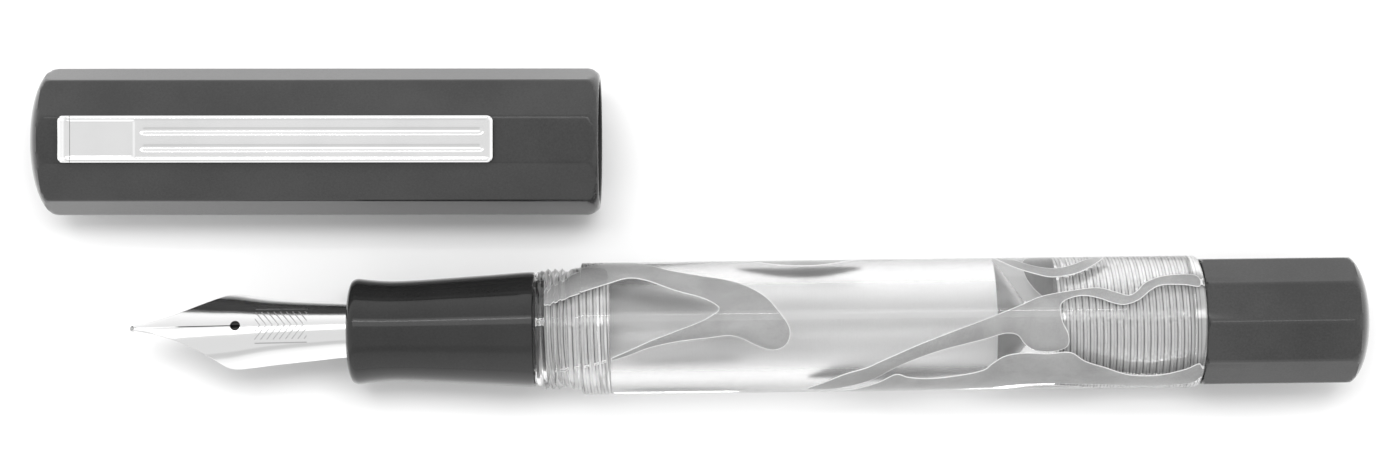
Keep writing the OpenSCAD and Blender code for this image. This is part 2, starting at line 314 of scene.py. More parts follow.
def threadedAcrylic(name, pitch):                  # painted sheen on the cut threads, with fine lines of painted shade at their crests and roots
    finish = clearAcrylic(name, clearLook["threadRoughness"])
    along, side, height = finish.axes(finish.place())
    start = penPlace.translation
    angle = finish.node("ShaderNodeMath", {"operation": "ARCTAN2"}, {0: side - start.y, 1: height - start.z})
    turn = ((along - start.x) * (1 / (pitch * mm)) + angle * (1 / math.tau)) % 1.0
    fromRoot = finish.size(turn - 0.5)             # 0 at a root, 0.5 at a crest
    # painted shade: dark lines along the crests and roots
    crests = finish.between(fromRoot, 0.36, 0.46, 0.0, 0.9)
    roots = finish.between(fromRoot, 0.05, 0.14, 0.55, 0.0)
    white, dark = clearLook["threadPaintedTones"]
    finish.set(
        transmissionWeight=1 - clearLook["threadPaintedSheen"],
        baseColor=finish.mixed(grey(white), grey(dark), crests + roots),
    )
    return finish.material



pigmentLook = {
    "shade": 0.315,
    "cloud": 0.05,            # how far the grey drifts to either side
    "rimShade": 0.85,         # pale edge where the pigment meets the clear resin
    "rimCloud": 0.03,
    "cloudScale": 220,
    "grainScale": 5200,
}


def pigment(name, shade, cloudiness):
    finish = Finish(name)
    cloud = finish.noise(pigmentLook["cloudScale"], detail=5, rough=0.6, distortion=0.8)
    grain = finish.noise(pigmentLook["grainScale"], detail=2, rough=0.7)
    tone = finish.between(cloud * 0.7 + grain * 0.3, 0.3, 0.7)
    finish.set(
        baseColor=finish.mixed(grey(shade - cloudiness), grey(min(0.98, shade + cloudiness)), tone),
        roughness=0.35 + grain * 0.2,
        normal=finish.bumped(cloud, 0.1, 0.02),
    )
    return finish.material


swirlPigment = pigment("swirlPigment", pigmentLook["shade"], pigmentLook["cloud"])
swirlRim = pigment("swirlRim", pigmentLook["rimShade"], pigmentLook["rimCloud"])

plasticLook = {
    "grainScale": 3800,
    "flowScale": 240,
    "feed": (0.018, 0.38),    # shade and roughness of each moulded piece
    "collar": (0.02, 0.35),
    "liner": (0.72, 0.4),
    "seal": (0.016, 0.6),
}


def mouldedPlastic(name, shade, roughness):
    finish = Finish(name)
    grain = finish.noise(plasticLook["grainScale"], detail=3, rough=0.6)
    flow = finish.noise(plasticLook["flowScale"], detail=3, stretch=(0.5, 2, 2))
    finish.set(
        baseColor=finish.mixed(grey(shade * 0.8), grey(min(0.95, shade * 1.2)), flow),
        roughness=roughness + grain * 0.12,
        normal=finish.bumped(grain * 0.7 + flow * 0.3, 0.15, 0.01),
    )
    return finish.material


feedPlastic = mouldedPlastic("feedPlastic", *plasticLook["feed"])
collarPlastic = mouldedPlastic("collarPlastic", *plasticLook["collar"])
linerPlastic = mouldedPlastic("linerPlastic", *plasticLook["liner"])
sealRubber = mouldedPlastic("sealRubber", *plasticLook["seal"])


nibEtch = {
    "from": 12.55,            # plain ruled ornament, back from the point
    "to": 17.75,
    "border": 1.75,           # across from the middle
    "line": 0.13,
    "spacing": 0.62,
    "slant": 0.8,
    "ruledHalf": 1.45,
    "shades": (0.90, 0.42),   # polished and etched steel
    "roughness": 0.10,
    "etchedRoughness": 0.35,
}


def nibSteelFinish():
    n = nibEtch
    finish = Finish("nibSteel", metallic=1.0)
    along, across, _ = finish.axes(finish.node("ShaderNodeUVMap", {"uv_map": "engraving"}))
    inPanel = (along > n["from"]) * (along < n["to"])
    border = (across > n["border"]) * (across < n["border"] + n["line"])
    slanted = (along + across * n["slant"]) % n["spacing"]
    ruled = (slanted < n["line"]) * (across < n["ruledHalf"])
    etched = inPanel * finish.larger(border, ruled)
    lines = finish.noise(steelLook["lineScale"], stretch=(0.5, 10, 10))
    grain = finish.noise(9000, detail=2)
    polished, dull = n["shades"]
    finish.set(
        baseColor=finish.mixed(grey(polished), grey(dull), etched * 0.8),
        roughness=n["roughness"] + lines * 0.05 + etched * n["etchedRoughness"],
        normal=finish.bumped(etched * -0.6 + grain * etched * 0.4, 0.35, 0.01),
    )
    return finish.material


nibSteel = nibSteelFinish()
print("materials ready")


# Shaping

def finishPiece(name, bm, place, body, nodes, materials, sharp=30):
    bmesh.ops.transform(bm, matrix=place, verts=bm.verts)
    mesh = bpy.data.meshes.new(name)
    bm.to_mesh(mesh)
    bm.free()
    for material in materials:
        mesh.materials.append(material)
    mesh.polygons.foreach_set("use_smooth", [True] * len(mesh.polygons))
    mesh.set_sharp_from_angle(angle=math.radians(sharp))
    piece = bpy.data.objects.new(name, mesh)
    bpy.context.scene.collection.objects.link(piece)
    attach(piece, body)
    if nodes:
        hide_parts(*nodes)


def turnOutline(bm, outline):                      # spins [along, radius] points round the axis
    points = [bm.verts.new((s * mm, 0, r * mm)) for s, r in outline]
    lines = [bm.edges.new(pair) for pair in zip(points, points[1:])]
    bmesh.ops.spin(
        bm, geom=points + lines, cent=(0, 0, 0), axis=(1, 0, 0), dvec=(0, 0, 0), angle=math.tau,
        steps=layout["roundSteps"], use_merge=True, use_duplicate=False)


maleShape = [(0.0, 0.0), (0.45, 1.0), (0.55, 1.0)]      # one turn: place along the pitch, height
femaleShape = [(-0.06, 0.0), (0.06, 0.0), (0.5, 1.0)]


def cutThread(bm, start, end, baseR, farR, pitch, shape):
    steps = layout["roundSteps"]
    first = math.floor(start / pitch) - 1
    last = math.ceil(end / pitch) + 1
    points = [
        bm.verts.new(((turn + place) * pitch * mm, 0, (baseR + (farR - baseR) * height) * mm))
        for turn in range(first, last) for place, height in shape
    ]
    lines = [bm.edges.new(pair) for pair in zip(points, points[1:])]
    old = set(bm.verts) - set(points)
    bmesh.ops.spin(
        bm, geom=points + lines, cent=(0, 0, 0), axis=(1, 0, 0), dvec=(pitch / steps * mm, 0, 0),
        angle=math.tau, steps=steps, use_merge=False, use_duplicate=False)
    for vert in bm.verts:
        if vert in old:
            continue
        s = min(max(vert.co.x / mm, start), end)
        runOut = min(1, min(s - start, end - s) / (pitch * 0.7))
        r = math.hypot(vert.co.y, vert.co.z) / mm
        scale = (baseR + (r - baseR) * runOut) / r
        vert.co = (s * mm, vert.co.y * scale, vert.co.z * scale)


def weld(bm, gap=0.0004):
    bmesh.ops.remove_doubles(bm, verts=bm.verts, dist=gap * mm)
    bmesh.ops.dissolve_degenerate(bm, edges=bm.edges, dist=gap * mm)
    bmesh.ops.recalc_face_normals(bm, faces=bm.faces)


def facet(bm, cornerR, above, turned=0):           # flattens whatever lies above a radius
    halfFlat = 180 / layout["facets"]
    flatR = cornerR * math.cos(math.radians(halfFlat))
    for vert in bm.verts:
        r = math.hypot(vert.co.y, vert.co.z) / mm
        if r < above:
            continue
        angle = math.degrees(math.atan2(vert.co.y, vert.co.z)) - turned
        fromFlat = (angle + halfFlat) % (2 * halfFlat) - halfFlat
        scale = min(1, flatR / math.cos(math.radians(fromFlat)) / r)
        vert.co = (vert.co.x, vert.co.y * scale, vert.co.z * scale)


def softenLongEdges(bm, cornerR, width):           # the edges between flats, near the corner radius
    long = [
        edge for edge in bm.edges
        if len(edge.link_faces) == 2 and edge.calc_face_angle() > math.radians(20)
        and all(math.hypot(v.co.y, v.co.z) / mm > cornerR * 0.93 for v in edge.verts)
        and abs(edge.verts[0].co.x - edge.verts[1].co.x) > edge.calc_length() * 0.8
    ]
    bmesh.ops.bevel(
        bm, geom=long, offset=width * mm, offset_type="OFFSET", segments=3, profile=0.5,
        affect="EDGES", material=-1, clamp_overlap=True)


def smoothLine(points, perSpan=6, closed=False):
    out = []
    count = len(points)
    spans = count if closed else count - 1
    for i in range(spans):
        if closed:
            p = [points[(i + k - 1) % count] for k in range(4)]
        else:
            p = [points[min(max(i + k - 1, 0), count - 1)] for k in range(4)]
        for step in range(perSpan):
            t = step / perSpan
            out.append(tuple(
                0.5 * (2 * b + (c - a) * t + (2 * a - 5 * b + 4 * c - d) * t * t
                       + (3 * b - a - 3 * c + d) * t ** 3)
                for a, b, c, d in zip(*p)
            ))
    if not closed:
        out.append(tuple(points[-1]))
    return out


def domedEnd(depth, radius, count=16):             # turned dome, from the axis outwards
    out = []
    for i in range(count + 1):
        s = depth * (i / count) ** 2
        out.append((s, radius * math.sqrt(max(0, 1 - (1 - s / depth) ** 2.2))))
    return out


# Clear barrel

barrelShape = {
    "radius": 6.6,
    "length": 61.6,
    "seatR": 5.0,             # counterbores for the O-rings
    "femaleR": 4.45,          # crest and root of the threads inside
    "femaleRootR": 4.80,
    "pitch": 0.66,
    "capThreadR": 6.05,
    "capThreadRootR": 5.75,
    "capPitch": 0.7,
    "neckR": 6.15,
    "capThreadFrom": -4.2,
    "capThreadTo": -1.35,
    "seatDeep": 1.0,
    "frontThreadTo": 2.6,
    "chamberR": 4.3,
    "chamberStart": 2.9,
    "chamberEnd": 41.1,       # from here the drill's cone narrows to its blunt tip
    "coneR": 1.5,
    "socketStart": 47.1,
    # rounded shoulder and rear rim: place in from the face, how far below the outside
    "shoulder": [(0, 0.12), (0.04, 0.04), (0.12, 0)],
    "rim": [(0.5, 0), (0.3, 0.06), (0.13, 0.2), (0, 0.45)],
}


def makeBarrel():
    b = barrelShape
    tenon, end = -layout["tenonLength"], b["length"]
    frontSeat, rearSeat = tenon + b["seatDeep"], end - b["seatDeep"]
    threadFrom, threadTo = frontSeat + 0.05, rearSeat - 0.05
    socketFrom = b["socketStart"] + 0.3
    cone = b["chamberEnd"] + b["chamberR"] - b["coneR"]
    shoulder = [(s, b["radius"] - drop) for s, drop in b["shoulder"]]
    rim = [(end - s, b["radius"] - drop) for s, drop in b["rim"]]
    bm = bmesh.new()
    turnOutline(bm, [(b["capThreadFrom"], b["capThreadRootR"]), (tenon + 0.25, b["capThreadRootR"] - 0.02),
                     (tenon, b["capThreadRootR"] - 0.3), (tenon, b["seatR"] + 0.1),
                     (tenon + 0.1, b["seatR"]), (frontSeat, b["seatR"]),
                     (frontSeat, b["femaleR"] + 0.05), (threadFrom, b["femaleR"])])
    cutThread(bm, b["capThreadFrom"], b["capThreadTo"], b["capThreadRootR"], b["capThreadR"],
              b["capPitch"], maleShape)
    turnOutline(bm, [(b["capThreadTo"], b["capThreadRootR"]), (-1.1, 5.95), (-0.9, b["neckR"] - 0.1),
                     (0, b["neckR"]), *shoulder, (end / 2, b["radius"]), *rim, (end, b["seatR"] + 0.1),
                     (end - 0.1, b["seatR"]), (rearSeat, b["seatR"]), (rearSeat, b["femaleR"] + 0.05),
                     (threadTo, b["femaleR"])])
    cutThread(bm, threadFrom, b["frontThreadTo"], b["femaleR"], b["femaleRootR"], b["pitch"], femaleShape)
    turnOutline(bm, [(b["frontThreadTo"], b["femaleR"]), (b["frontThreadTo"] + 0.2, b["femaleR"]),
                     (b["chamberStart"], b["chamberR"]), (b["chamberEnd"], b["chamberR"]),
                     (cone, b["coneR"]), (cone + 0.5, b["coneR"]), (cone + 0.5, 0)])
    cutThread(bm, socketFrom, threadTo, b["femaleR"], b["femaleRootR"], b["pitch"], femaleShape)
    turnOutline(bm, [(socketFrom, b["femaleR"]), (b["socketStart"], b["femaleR"] - 0.1),
                     (b["socketStart"], 0)])
    weld(bm)
    for face in bm.faces:                          # frosted bore, threads with painted sheen and painted shade lines, the rest polished
        middle = face.calc_center_median() / mm
        r = math.hypot(middle.y, middle.z)
        if r < b["seatR"] - 0.1 and b["chamberStart"] - 0.15 < middle.x < b["socketStart"] - 1:
            face.material_index = 1
        elif r < b["seatR"] - 0.1 or r < b["seatR"] + 0.05 and middle.x > b["socketStart"]:
            face.material_index = 2
    finishPiece("clearBarrel", bm, penPlace, "barrel_body", ["barrel"],
                [clearPolished, clearBore, threadedAcrylic("clearThread", b["pitch"])], sharp=24)


makeBarrel()
print("barrel turned")


# Swirls of pigment cast in the barrel wall

swirlShape = {
    "radius": 5.35,           # where the pigment lies in the wall
    "cell": 0.24,
    "half": 0.16,             # half its thickness, and the share of it left at the outline
    "thinnest": 0.35,
    "taper": 0.5,
    "rim": 0.06,
}

# Outlines of [place along the barrel, degrees round from the top towards the cap]
swirls = {
    "loop": {
        "edge": [(-3.4, 44), (-1.8, 60), (-0.1, 76), (1.8, 90), (4.2, 97), (6.4, 87), (8.8, 71), (11.7, 61),
                 (14.4, 54), (16.3, 46), (18.3, 32), (19.7, 15), (20.6, 1), (20.6, -10), (20.1, -18),
                 (19.2, -22), (18.3, -21), (17.1, -16), (15.9, -10), (14.6, -7), (12.7, -9), (9.8, -12),
                 (6.9, -18), (4.5, -27), (2.0, -35), (-0.4, -42), (-2.0, -48), (-2.2, -45), (-0.2, -39),
                 (2.2, -32), (4.5, -22), (6.9, -11), (9.3, -2), (11.7, 7), (13.2, 15), (13.7, 21),
                 (12.2, 31), (9.3, 41), (6.4, 55), (4.7, 58), (2.9, 51), (1.2, 44), (-0.6, 37),
                 (-2.2, 31), (-3.4, 27)],
    },
    "river": {
        "edge": [(22.4, -81), (23.8, -68), (26.0, -53), (28.2, -44), (29.8, -35), (33.1, -19), (36.4, -6),
                 (39.7, 6), (43.1, 19), (45.4, 29), (48.4, 35), (51.0, 38), (52.7, 33), (54.0, 29),
                 (54.9, 34), (55.7, 43), (57.3, 51), (59.6, 54), (61.0, 51), (61.1, 38), (59.6, 40),
                 (57.4, 40), (56.2, 34), (55.0, 24), (53.6, 19), (52.4, 21), (51.1, 26), (49.7, 29),
                 (48.4, 27), (47.3, 20), (47.4, 4), (48.0, -10), (47.9, -22), (46.6, -27), (44.8, -26),
                 (43.7, -19), (43.0, -10), (41.8, -8), (40.0, -13), (38.0, -18), (35.4, -25), (32.8, -35),
                 (30.8, -46), (28.8, -62), (26.4, -76), (24.4, -84)],
    },
    "bank": {
        "edge": [(24.6, -92), (27.0, -80), (29.4, -64), (31.1, -51), (32.5, -56), (34.8, -58), (38.1, -52),
                 (39.8, -46), (40.6, -38), (41.8, -30), (43.6, -27), (46.0, -28), (48.2, -27), (49.7, -37),
                 (51.7, -45), (54.3, -56), (57.0, -57), (59.6, -49), (61.1, -42), (61.1, -66),
                 (59.6, -77), (56.3, -83), (53.0, -77), (50.5, -74), (46.5, -70), (42.8, -73),
                 (40.4, -80), (36.0, -88), (29.8, -97)],
        "radius": 5.72,
    },
    "upperEye": {
        "edge": [(41.3, 96), (42.2, 78), (43.4, 66), (45.3, 56), (46.8, 52), (48.8, 56), (50.3, 65),
                 (51.6, 80), (52.2, 96), (50.6, 88), (48.8, 72), (46.8, 66), (44.8, 72), (43.2, 86)],
    },
    "lowerEye": {
        "edge": [(40.8, -100), (42.8, -88), (45.0, -80), (47.2, -80), (49.6, -86), (51.4, -98),
                 (48.6, -108), (44.6, -110)],
    },
    "upperDrop": {
        "edge": [(15.4, 106), (17.6, 90), (19.8, 81), (22.2, 78), (24.2, 80), (26.4, 90), (28.2, 106),
                 (24.5, 112), (20.0, 108), (17.4, 110)],
    },
    "backRibbon": {
        "edge": [(-1.0, 104), (4.0, 108), (8.0, 120), (12.0, 138), (14.0, 152), (12.0, 160), (7.0, 150),
                 (2.0, 136), (-1.0, 122)],
    },
    "lowerDrop": {
        "edge": [(4.0, -119), (8.6, -114), (13.6, -119), (16.6, -127), (14.6, -134), (10.0, -132),
                 (6.0, -128)],
    },
    "backRiver": {
        "edge": [(44.0, 150), (50.0, 128), (56.0, 116), (60.8, 112), (60.8, 136), (57.0, 158), (51.0, 176),
                 (46.0, 170)],
    },
}


def toFlat(points, radius):
    return numpy.array([(s, math.radians(angle) * radius) for s, angle in points])


def insideDistance(points, loop):                  # positive inside the loop
    start = loop
    along = numpy.roll(loop, -1, axis=0) - start
    offset = points[:, None, :] - start[None]
    share = numpy.clip((offset * along).sum(2) / (along ** 2).sum(1), 0, 1)
    nearest = numpy.linalg.norm(offset - share[..., None] * along, axis=2).min(1)
    end = start + along
    x, y = points[:, 0, None], points[:, 1, None]
    crosses = (start[:, 1] > y) != (end[:, 1] > y)
    rise = numpy.where(along[:, 1] == 0, 1e-9, along[:, 1])
    left = x < start[:, 0] + (y - start[:, 1]) * along[:, 0] / rise
    odd = (crosses & left).sum(1) % 2 == 1
    return numpy.where(odd, nearest, -nearest)


def gridInside(outline):                           # flat mesh of small cells inside an outline
    margin = 0.4
    low, high = outline.min(0) - margin, outline.max(0) + margin
    width, breadth = high - low
    cells = [max(4, int(measure / swirlShape["cell"])) for measure in (width, breadth)]
    bm = bmesh.new()
    bmesh.ops.create_grid(bm, x_segments=cells[0], y_segments=cells[1], size=0.5)
    for vert in bm.verts:
        vert.co = (low[0] + (vert.co.x + 0.5) * width, low[1] + (vert.co.y + 0.5) * breadth, 0)
    middles = numpy.array([face.calc_center_median()[:2] for face in bm.faces])
    outside = insideDistance(middles, outline) < 0
    bmesh.ops.delete(bm, geom=[f for f, out in zip(list(bm.faces), outside) if out], context="FACES")
    pinched = True
    while pinched:                                 # cells that only touch at a corner
        pinched = [v for v in bm.verts if sum(e.is_boundary for e in v.link_edges) > 2]
        loose = {face for vert in pinched for face in vert.link_faces}
        bmesh.ops.delete(bm, geom=list(loose), context="FACES")
    return bm


def fitBorder(bm, outline):                        # pulls the stepped border onto the outline
    nudge = 0.02
    for _ in range(3):
        rim = [vert for vert in bm.verts if vert.is_boundary]
        flat = numpy.array([vert.co[:2] for vert in rim])
        gap = insideDistance(flat, outline)
        slope = numpy.stack([
            (insideDistance(flat + numpy.array(step), outline) - gap) / nudge
            for step in ((nudge, 0), (0, nudge))], axis=1)
        steep = numpy.maximum(numpy.linalg.norm(slope, axis=1), 0.3)[:, None]
        moved = flat - slope / steep * gap[:, None]
        for vert, (x, y) in zip(rim, moved):
            vert.co = (x, y, 0)
    bmesh.ops.smooth_vert(
        bm, verts=[v for v in bm.verts if not v.is_boundary], factor=0.4, use_axis_x=True, use_axis_y=True)


def thicken(bm, outline):                          # two sides that near each other at the outline
    lower = set(bm.verts)
    raised = bmesh.ops.extrude_face_region(bm, geom=list(bm.faces))
    upper = [item for item in raised["geom"] if isinstance(item, bmesh.types.BMVert)]
    lower = [vert for vert in bm.verts if vert in lower]
    thinnest = swirlShape["thinnest"]
    for side, verts in ((1, upper), (-1, lower)):
        inner = insideDistance(numpy.array([vert.co[:2] for vert in verts]), outline)
        for vert, inside in zip(verts, inner):
            full = min(1, max(0, inside) / swirlShape["taper"])
            vert.co.z = side * swirlShape["half"] * (thinnest + (1 - thinnest) * full)


def makeSwirl(name, shape):
    radius = shape.get("radius", swirlShape["radius"])
    outline = toFlat(smoothLine(shape["edge"], 5, closed=True), radius)
    bm = gridInside(outline)
    fitBorder(bm, outline)
    bmesh.ops.recalc_face_normals(bm, faces=bm.faces)
    border = bmesh.ops.inset_region(
        bm, faces=bm.faces, thickness=swirlShape["rim"], depth=0, use_even_offset=True, use_boundary=True)
    for face in border["faces"]:
        face.material_index = 1
    thicken(bm, outline)
    for vert in bm.verts:                          # bend it round the barrel
        s, arc, height = vert.co
        angle = arc / radius
        r = radius + height
        vert.co = (s * mm, r * math.sin(angle) * mm, r * math.cos(angle) * mm)
    weld(bm)
    finishPiece(name, bm, penPlace, "barrel_body", [],
                [swirlPigment, swirlRim], sharp=60)


for swirlName, swirl in swirls.items():
    makeSwirl("swirl_" + swirlName, swirl)
print("swirls cast")


# Grip section, its collar and the seals

gripShape = {
    "front": -23.2,
    "back": -4.69,
    "outline": [(0.10, 4.75), (0.30, 5.08), (0.65, 5.25), (1.05, 5.27), (2.0, 5.15), (3.4, 5.03), (4.8, 5.0),
                (7.0, 5.08), (10.4, 5.28), (14.0, 5.50), (17.0, 5.70), (17.95, 5.75)],
    "studRootR": 4.36,
    "studR": 4.68,
    "studEnd": 2.55,
    "bevel": 0.35,            # at the free end of each stud
    "groove": 4.1,
    "boreR": 3.2,
    "collarR": 3.52,
    "flangeR": 3.92,
}


def makeGrip():
    g = gripShape
    front, back = g["front"], g["back"]
    collarEnd = front + 10
    bm = bmesh.new()
    outside = [(front + s, r) for s, r in smoothLine(g["outline"], 5)]
    turnOutline(bm, [(g["studEnd"], g["studRootR"] - g["bevel"]), (g["studEnd"], g["boreR"]),
                     (collarEnd, g["boreR"]), (collarEnd, g["collarR"]),
                     (front + 0.5, g["collarR"]), (front + 0.5, g["flangeR"]),
                     (front + 0.05, g["flangeR"]), (front, g["flangeR"] + 0.05), (front, 4.4), *outside,
                     (back - 0.08, 5.72), (back, 5.6), (back, g["groove"]), (back + 0.95, g["groove"]),
                     (back + 0.95, g["studRootR"] - 0.05), (back + 1.1, g["studRootR"])])
    cutThread(bm, back + 1.1, g["studEnd"] - g["bevel"], g["studRootR"], g["studR"],
              barrelShape["pitch"], maleShape)
    turnOutline(bm, [(g["studEnd"] - g["bevel"], g["studRootR"]),
                     (g["studEnd"], g["studRootR"] - g["bevel"])])
    weld(bm)
    finishPiece("gripSection", bm, penPlace, "grip", ["grip_section"], [gripResin], sharp=28)


makeGrip()

collarShape = {
    "front": -23.2,
    "length": 9.95,
    "flangeR": 3.9,
    "rootR": 3.3,
    "crestR": 3.48,
    "pitch": 0.5,
    "threadTo": 7.6,
    "holdR": 2.97,            # grips the nib and feed, this far back
    "holdTo": 8.3,
    "boreR": 2.3,
}


def makeCollar():
    c = collarShape
    front, end = c["front"], c["front"] + c["length"]
    bm = bmesh.new()
    turnOutline(bm, [(end, c["rootR"]), (end, c["boreR"]), (front + c["holdTo"], c["boreR"]),
                     (front + c["holdTo"], c["holdR"]),
                     (front + 0.15, c["holdR"]), (front + 0.02, c["holdR"] + 0.13),
                     (front + 0.02, c["flangeR"] - 0.12), (front + 0.12, c["flangeR"]),
                     (front + 0.47, c["flangeR"]), (front + 0.47, c["rootR"]), (front + 1, c["rootR"])])
    cutThread(bm, front + 1, front + c["threadTo"], c["rootR"], c["crestR"], c["pitch"], maleShape)
    turnOutline(bm, [(front + c["threadTo"], c["rootR"]), (end, c["rootR"])])
    weld(bm)
    finishPiece("nibCollar", bm, penPlace, "grip", ["nib_collar"], [collarPlastic])


makeCollar()

ringShape = {"middleR": 4.52, "wireR": 0.39, "sectionAt": -4.2, "tailAt": 61.15}


def makeRing(name, s, body, node):
    bm = bmesh.new()
    bmesh.ops.create_circle(bm, cap_ends=False, segments=24, radius=ringShape["wireR"] * mm)
    upright = Matrix.Rotation(math.pi / 2, 4, "X")
    away = Matrix.Translation((s * mm, 0, ringShape["middleR"] * mm))
    bmesh.ops.transform(bm, verts=bm.verts, matrix=away @ upright)
    bmesh.ops.spin(
        bm, geom=bm.verts[:] + bm.edges[:], cent=(0, 0, 0), axis=(1, 0, 0), dvec=(0, 0, 0), angle=math.tau,
        steps=96, use_merge=True, use_duplicate=False)
    weld(bm)
    finishPiece(name, bm, penPlace, body, [node], [sealRubber], sharp=80)


makeRing("sectionORing", ringShape["sectionAt"], "section_ring", "section_o_ring")
makeRing("tailORing", ringShape["tailAt"], "tail_ring", "tail_o_ring")
print("grip and seals made")


# Tail knob

tailShape = {
    "face": 61.64,
    "end": 78.45,
    "cornerR": 6.55,
    "dome": 2.5,
    "edge": 0.16,
    "studStart": 47.44,
    # rounded shoulder: place behind the face, radius
    "shoulder": [(0, 5.9), (0.03, 6.1), (0.12, 6.3), (0.3, 6.55)],
}


def makeTail():
    t = tailShape
    g = gripShape
    shoulder = [(t["face"] + s, r) for s, r in t["shoulder"]]
    bm = bmesh.new()
    dome = [(t["end"] - s, r) for s, r in reversed(domedEnd(t["dome"], t["cornerR"]))]
    turnOutline(bm, [(t["studStart"], 0), (t["studStart"], g["studRootR"] - g["bevel"]),
                     (t["studStart"] + g["bevel"], g["studRootR"])])
    cutThread(bm, t["studStart"] + g["bevel"], t["face"] - 1.25, g["studRootR"], g["studR"],
              barrelShape["pitch"], maleShape)
    turnOutline(bm, [(t["face"] - 1.25, g["studRootR"]), (t["face"] - 1.1, g["studRootR"] - 0.05),
                     (t["face"] - 1.1, g["groove"]), (t["face"], g["groove"]), *shoulder,
                     (t["face"] + 5, t["cornerR"]), *dome])
    facet(bm, t["cornerR"], 4.9, turned=180 / layout["facets"])
    weld(bm)
    softenLongEdges(bm, t["cornerR"], t["edge"])
    finishPiece("tailKnob", bm, penPlace, "tail", ["tail_knob"], [tailResin], sharp=26)


makeTail()
print("tail made")


# Cap and its liner

capShape = {
    "cornerR": 7.35,
    "length": 56.5,
    "dome": 2.4,
    "edge": 0.16,
    "boreR": 5.9,
    "mouthR": 6.2,
    "threadR": 5.85,
    "threadRootR": 6.16,
    "pitch": 0.7,
    "threadDeep": 4.6,        # how far in from the mouth the thread goes
    "endWall": 7.9,
    "screwHoleR": 1.05,
    "screwHoleTo": 1.5,
    # rounded mouth: place in front of the mouth, radius
    "lip": [(1.2, 7.35), (0.85, 7.27), (0.5, 7.1), (0.2, 6.88), (0.06, 6.72), (0, 6.6)],
}


def makeCap():
    c = capShape
    end = c["length"]
    threadFrom = end - c["threadDeep"]
    lip = [(end - s, r) for s, r in c["lip"]]
    bm = bmesh.new()
    turnOutline(bm, [*domedEnd(c["dome"], c["cornerR"]), (end / 2, c["cornerR"]), *lip,
                     (end, c["mouthR"] + 0.12), (end - 0.12, c["mouthR"]), (end - 1.0, c["mouthR"]),
                     (end - 1.0, c["threadR"] + 0.05), (end - 1.05, c["threadR"])])
    facet(bm, c["cornerR"], 6.5)
    cutThread(bm, threadFrom, end - 1.05, c["threadR"], c["threadRootR"], c["pitch"], femaleShape)
    turnOutline(bm, [(threadFrom, c["threadR"]), (threadFrom - 0.1, c["boreR"]), (c["endWall"], c["boreR"]),
                     (c["endWall"], c["screwHoleR"]), (c["screwHoleTo"], c["screwHoleR"]),
                     (c["screwHoleTo"], 0)])
    weld(bm)
    softenLongEdges(bm, c["cornerR"], c["edge"])
    finishPiece("capShell", bm, capPlace, "cap", ["cap_shell"], [capResin], sharp=26)


makeCap()

linerShape = {"start": 9.3, "length": 24.2, "outR": 5.88, "inR": 4.7}


def makeLiner():
    n = linerShape
    start, end = n["start"], n["start"] + n["length"]
    bm = bmesh.new()
    turnOutline(bm, [(start, 0), (start, n["outR"] - 0.4), (start + 0.12, n["outR"] - 0.12),
                     (start + 0.4, n["outR"]), (end - 0.1, n["outR"]), (end, n["outR"] - 0.1),
                     (end, n["inR"] + 0.4), (end - 0.1, n["inR"] + 0.12), (end - 0.4, n["inR"]),
                     (start + 1.6, n["inR"]), (start + 1.15, n["inR"] - 0.15), (start + 1, n["inR"] - 0.6),
                     (start + 1, 0)])
    weld(bm)
    finishPiece("innerCap", bm, capPlace, "cap", ["inner_cap"], [linerPlastic])


makeLiner()
print("cap made")


# Clip

clipShape = {
    "start": 3.88,            # left end, from the cap's closed end
    "split": 5.18,            # where the spring bend ends and the arm starts
    "end": 46.3,
    "width": 4.55,
    "under": 7.44,            # height of the arm's rim over the cap's axis
    "thick": 1.1,
    "sheet": 0.5,
    "corner": 0.55,
    "roll": 0.11,             # how far the outer edge is rolled off, and over what width
    "rollWidth": 0.24,
    "rim": 0.30,
    "recess": 0.055,
    "panelRecess": 0.19,      # the plain panel near the closed end sits lower
    "panelFrom": 0.7,         # from the clip's left end, as are the grooves
    "panelTo": 7.7,
    "grooveFrom": 8.1,
    "grooveTo": 41.6,
    "grooveAt": 0.82,
    "grooveHalf": 0.46,
    "grooveDeep": 0.12,
    "bendLength": 1.0,        # the bend falls away to the cap
    "bendDrop": 0.50,
    "endLength": 0.9,         # the free end is rolled down
    "endDrop": 0.30,
    "wall": 0.3,              # at the sides of the hollow underneath
    "ballBack": 2.2,          # the bump that rides on the cap, and how wide and deep it is
    "ballSpread": 0.8,
    "ballDrop": 0.9,
    "tangAt": 4.3,            # the strap that goes down into the cap
    "tangDrop": 4.7,
    "tangSize": (0.8, 3.0, 10.2),
    "joinGap": 0.02,          # on each side of the split
    "cell": 0.16,
    "columns": 86,
}


def clipTop(u, y):                                 # height of the clip's face; u is from its left end
    c = clipShape
    length = c["end"] - c["start"]
    edge = min(u, length - u, c["width"] / 2 - abs(y))
    height = c["thick"] - c["roll"] * max(0, 1 - edge / c["rollWidth"]) ** 2
    panel = smoothStep((u - c["panelFrom"]) / 0.6) * smoothStep((c["panelTo"] - u) / 0.3)
    sunk = c["recess"] + (c["panelRecess"] - c["recess"]) * panel
    height -= sunk * smoothStep((edge - c["rim"]) / (0.22 + 0.12 * panel))
    if u < c["bendLength"]:
        height -= c["bendDrop"] * (c["bendLength"] - u) ** 1.4
    fromEnd = u - length + c["endLength"]
    if fromEnd > 0:
        height -= c["endDrop"] * (fromEnd / c["endLength"]) ** 2
    for side in (-1, 1):
        across = y - side * c["grooveAt"]
        beyond = max(c["grooveFrom"] + c["grooveHalf"] - u, u - c["grooveTo"] + c["grooveHalf"], 0)
        away = min(1, math.hypot(across, beyond) / c["grooveHalf"])
        height -= c["grooveDeep"] * (0.5 + 0.5 * math.cos(math.pi * away))
    return height


